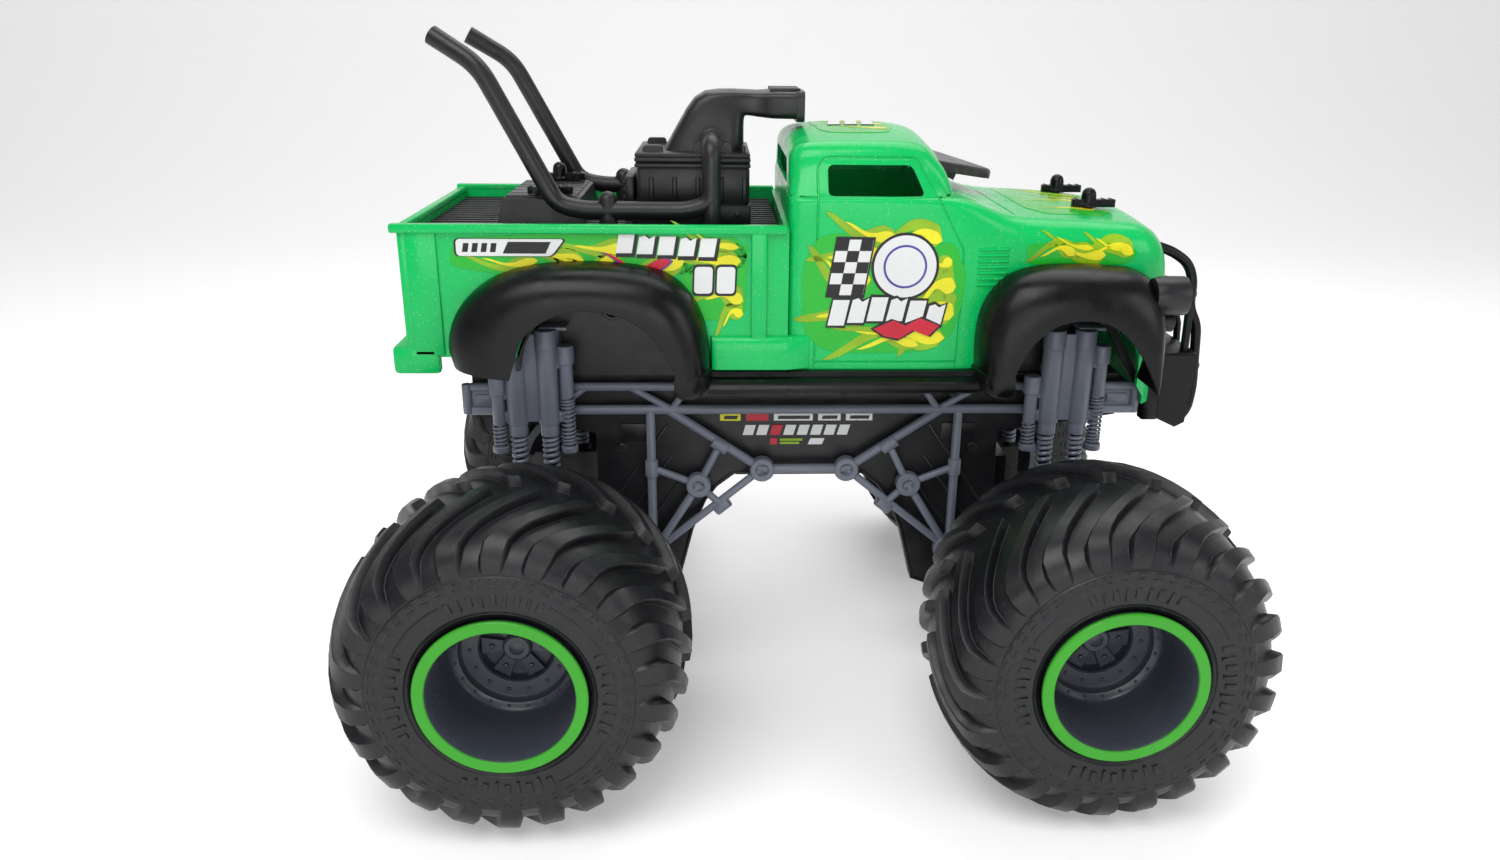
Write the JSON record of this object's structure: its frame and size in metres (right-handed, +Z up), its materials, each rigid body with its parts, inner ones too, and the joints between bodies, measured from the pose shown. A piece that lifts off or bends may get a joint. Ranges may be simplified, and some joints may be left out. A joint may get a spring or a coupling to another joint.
{
  "type": "rc monster truck",
  "caption": "Radio-controlled toy monster truck: pickup shell on a tube chassis with big lugged tyres, sprung axles and steered front wheels.",
  "frame": {"origin": "on the ground under the middle of the wheelbase", "axes": "+X towards the front bumper, +Y towards the truck's left side, +Z up"},
  "size_m": [0.4012, 0.3416, 0.3256],
  "materials": {
    "body_green": "glossy moulded green",
    "ring_green": "satin yellow-green",
    "black_plastic": "satin black",
    "trim_black": "semi-gloss black",
    "lamp_black": "gloss black with a clear lens",
    "chassis_grey": "satin blue-grey",
    "tyre_rubber": "dull black rubber",
    "spring_steel": "plain spring wire",
    "shaft_steel": "plated steel",
    "white_gear": "white moulded",
    "board_green": "solder mask",
    "battery_wrap": "blue shrink wrap"
  },
  "bodies": {
    "chassis": {"chassis_tub": "black_plastic", "side_frame_left": "chassis_grey", "side_frame_right": "chassis_grey", "shock_tower_front_left": "chassis_grey", "shock_tower_front_right": "chassis_grey", "shock_tower_rear_left": "chassis_grey", "shock_tower_rear_right": "chassis_grey", "spring_front_left_1": "spring_steel", "spring_front_left_2": "spring_steel", "spring_front_right_1": "spring_steel", "spring_front_right_2": "spring_steel", "spring_rear_left_1": "spring_steel", "spring_rear_left_2": "spring_steel", "spring_rear_right_1": "spring_steel", "spring_rear_right_2": "spring_steel", "battery": "battery_wrap", "circuit_board": "board_green", "body_shell": "body_green", "bed_floor": "black_plastic", "fender_left": "trim_black", "fender_right": "trim_black", "headlight_left": "lamp_black", "headlight_right": "lamp_black", "visor": "black_plastic", "bumper": "black_plastic", "bull_bar": "black_plastic", "engine_block": "black_plastic", "air_scoop": "black_plastic", "exhaust_left": "black_plastic", "exhaust_right": "black_plastic"},
    "front_axle": {"front_axle_housing": "black_plastic", "steering_servo": "black_plastic"},
    "rear_axle": {"rear_axle_housing": "black_plastic", "gearbox_cover": "black_plastic", "drive_motor": "shaft_steel"},
    "knuckle_left": {"knuckle_left": "black_plastic"},
    "knuckle_right": {"knuckle_right": "black_plastic"},
    "tie_rod": {"tie_rod": "black_plastic"},
    "servo_horn": {"servo_horn": "white_gear"},
    "wheel_front_left": {"tyre_front_left": "tyre_rubber", "rim_front_left": "chassis_grey", "bead_ring_front_left": "ring_green"},
    "wheel_front_right": {"tyre_front_right": "tyre_rubber", "rim_front_right": "chassis_grey", "bead_ring_front_right": "ring_green"},
    "rear_wheels": {"rear_axle_shaft": "shaft_steel", "axle_gear": "white_gear", "tyre_rear_left": "tyre_rubber", "rim_rear_left": "chassis_grey", "bead_ring_rear_left": "ring_green", "tyre_rear_right": "tyre_rubber", "rim_rear_right": "chassis_grey", "bead_ring_rear_right": "ring_green"},
    "motor_pinion": {"motor_pinion": "shaft_steel"},
    "battery_door": {"battery_door": "black_plastic"},
    "power_switch": {"power_switch": "black_plastic"},
    "hood_latch_left": {"hood_latch_left": "black_plastic"},
    "hood_latch_right": {"hood_latch_right": "black_plastic"},
    "tail_latch_left": {"tail_latch_left": "black_plastic"},
    "tail_latch_right": {"tail_latch_right": "black_plastic"}
  },
  "joints": [
    {"name": "front_axle_travel", "type": "slide", "parent": "chassis", "child": "front_axle", "axis": [0, 0, 1], "range_m": [-0.003, 0.01], "stiffness_N_per_m": 900, "springref_m": -0.0105, "deforming": ["spring_front_left_1", "spring_front_left_2", "spring_front_right_1", "spring_front_right_2"]},
    {"name": "rear_axle_travel", "type": "slide", "parent": "chassis", "child": "rear_axle", "axis": [0, 0, 1], "range_m": [-0.003, 0.01], "stiffness_N_per_m": 900, "springref_m": -0.0105, "deforming": ["spring_rear_left_1", "spring_rear_left_2", "spring_rear_right_1", "spring_rear_right_2"]},
    {"name": "knuckle_left_steer", "type": "hinge", "parent": "front_axle", "child": "knuckle_left", "pos_m": [0.1256, 0.082, 0.075], "axis": [0, 0, 1], "range_deg": [-16, 16]},
    {"name": "knuckle_right_steer", "type": "hinge", "parent": "front_axle", "child": "knuckle_right", "pos_m": [0.1256, -0.082, 0.075], "axis": [0, 0, 1], "range_deg": [-16, 16]},
    {"name": "tie_rod_slide", "type": "slide", "parent": "front_axle", "child": "tie_rod", "axis": [0, 1, 0], "range_m": [-0.0056, 0.0056]},
    {"name": "servo_horn_turn", "type": "hinge", "parent": "front_axle", "child": "servo_horn", "pos_m": [0.0906, 0, 0.0765], "axis": [0, 0, 1], "range_deg": [-21.4, 21.4]},
    {"name": "wheel_front_left_spin", "type": "hinge", "parent": "knuckle_left", "child": "wheel_front_left", "pos_m": [0.1256, 0.1258, 0.075], "axis": [0, 1, 0], "continuous": true},
    {"name": "wheel_front_right_spin", "type": "hinge", "parent": "knuckle_right", "child": "wheel_front_right", "pos_m": [0.1256, -0.1258, 0.075], "axis": [0, 1, 0], "continuous": true},
    {"name": "rear_wheels_spin", "type": "hinge", "parent": "rear_axle", "child": "rear_wheels", "pos_m": [-0.1256, 0, 0.075], "axis": [0, 1, 0], "continuous": true},
    {"name": "motor_pinion_spin", "type": "hinge", "parent": "rear_axle", "child": "motor_pinion", "pos_m": [-0.1064, 0.0093, 0.075], "axis": [0, 1, 0], "continuous": true},
    {"name": "hood_latch_left_turn", "type": "hinge", "parent": "chassis", "child": "hood_latch_left", "pos_m": [0.1375, 0.026, 0.247], "axis": [0, 0, 1], "range_deg": [0, 90]},
    {"name": "hood_latch_right_turn", "type": "hinge", "parent": "chassis", "child": "hood_latch_right", "pos_m": [0.1375, -0.026, 0.247], "axis": [0, 0, 1], "range_deg": [-90, 0]},
    {"name": "tail_latch_left_turn", "type": "hinge", "parent": "chassis", "child": "tail_latch_left", "pos_m": [-0.1195, 0.026, 0.2524], "axis": [0, 0, 1], "range_deg": [0, 90]},
    {"name": "tail_latch_right_turn", "type": "hinge", "parent": "chassis", "child": "tail_latch_right", "pos_m": [-0.1195, -0.026, 0.2524], "axis": [0, 0, 1], "range_deg": [-90, 0]},
    {"name": "battery_door_hinge", "type": "hinge", "parent": "chassis", "child": "battery_door", "pos_m": [0.0274, 0, 0.1196], "axis": [0, -1, 0], "range_deg": [0, 95]},
    {"name": "power_switch_slide", "type": "slide", "parent": "chassis", "child": "power_switch", "axis": [0, 1, 0], "range_m": [0, 0.003]}
  ],
  "couplings": [
    {"joint": "knuckle_right_steer", "follows": "knuckle_left_steer", "ratio": 1},
    {"joint": "tie_rod_slide", "follows": "knuckle_left_steer", "m_per_rad": -0.02},
    {"joint": "servo_horn_turn", "follows": "knuckle_left_steer", "ratio": -1.3333},
    {"joint": "motor_pinion_spin", "follows": "rear_wheels_spin", "ratio": -3}
  ]
}
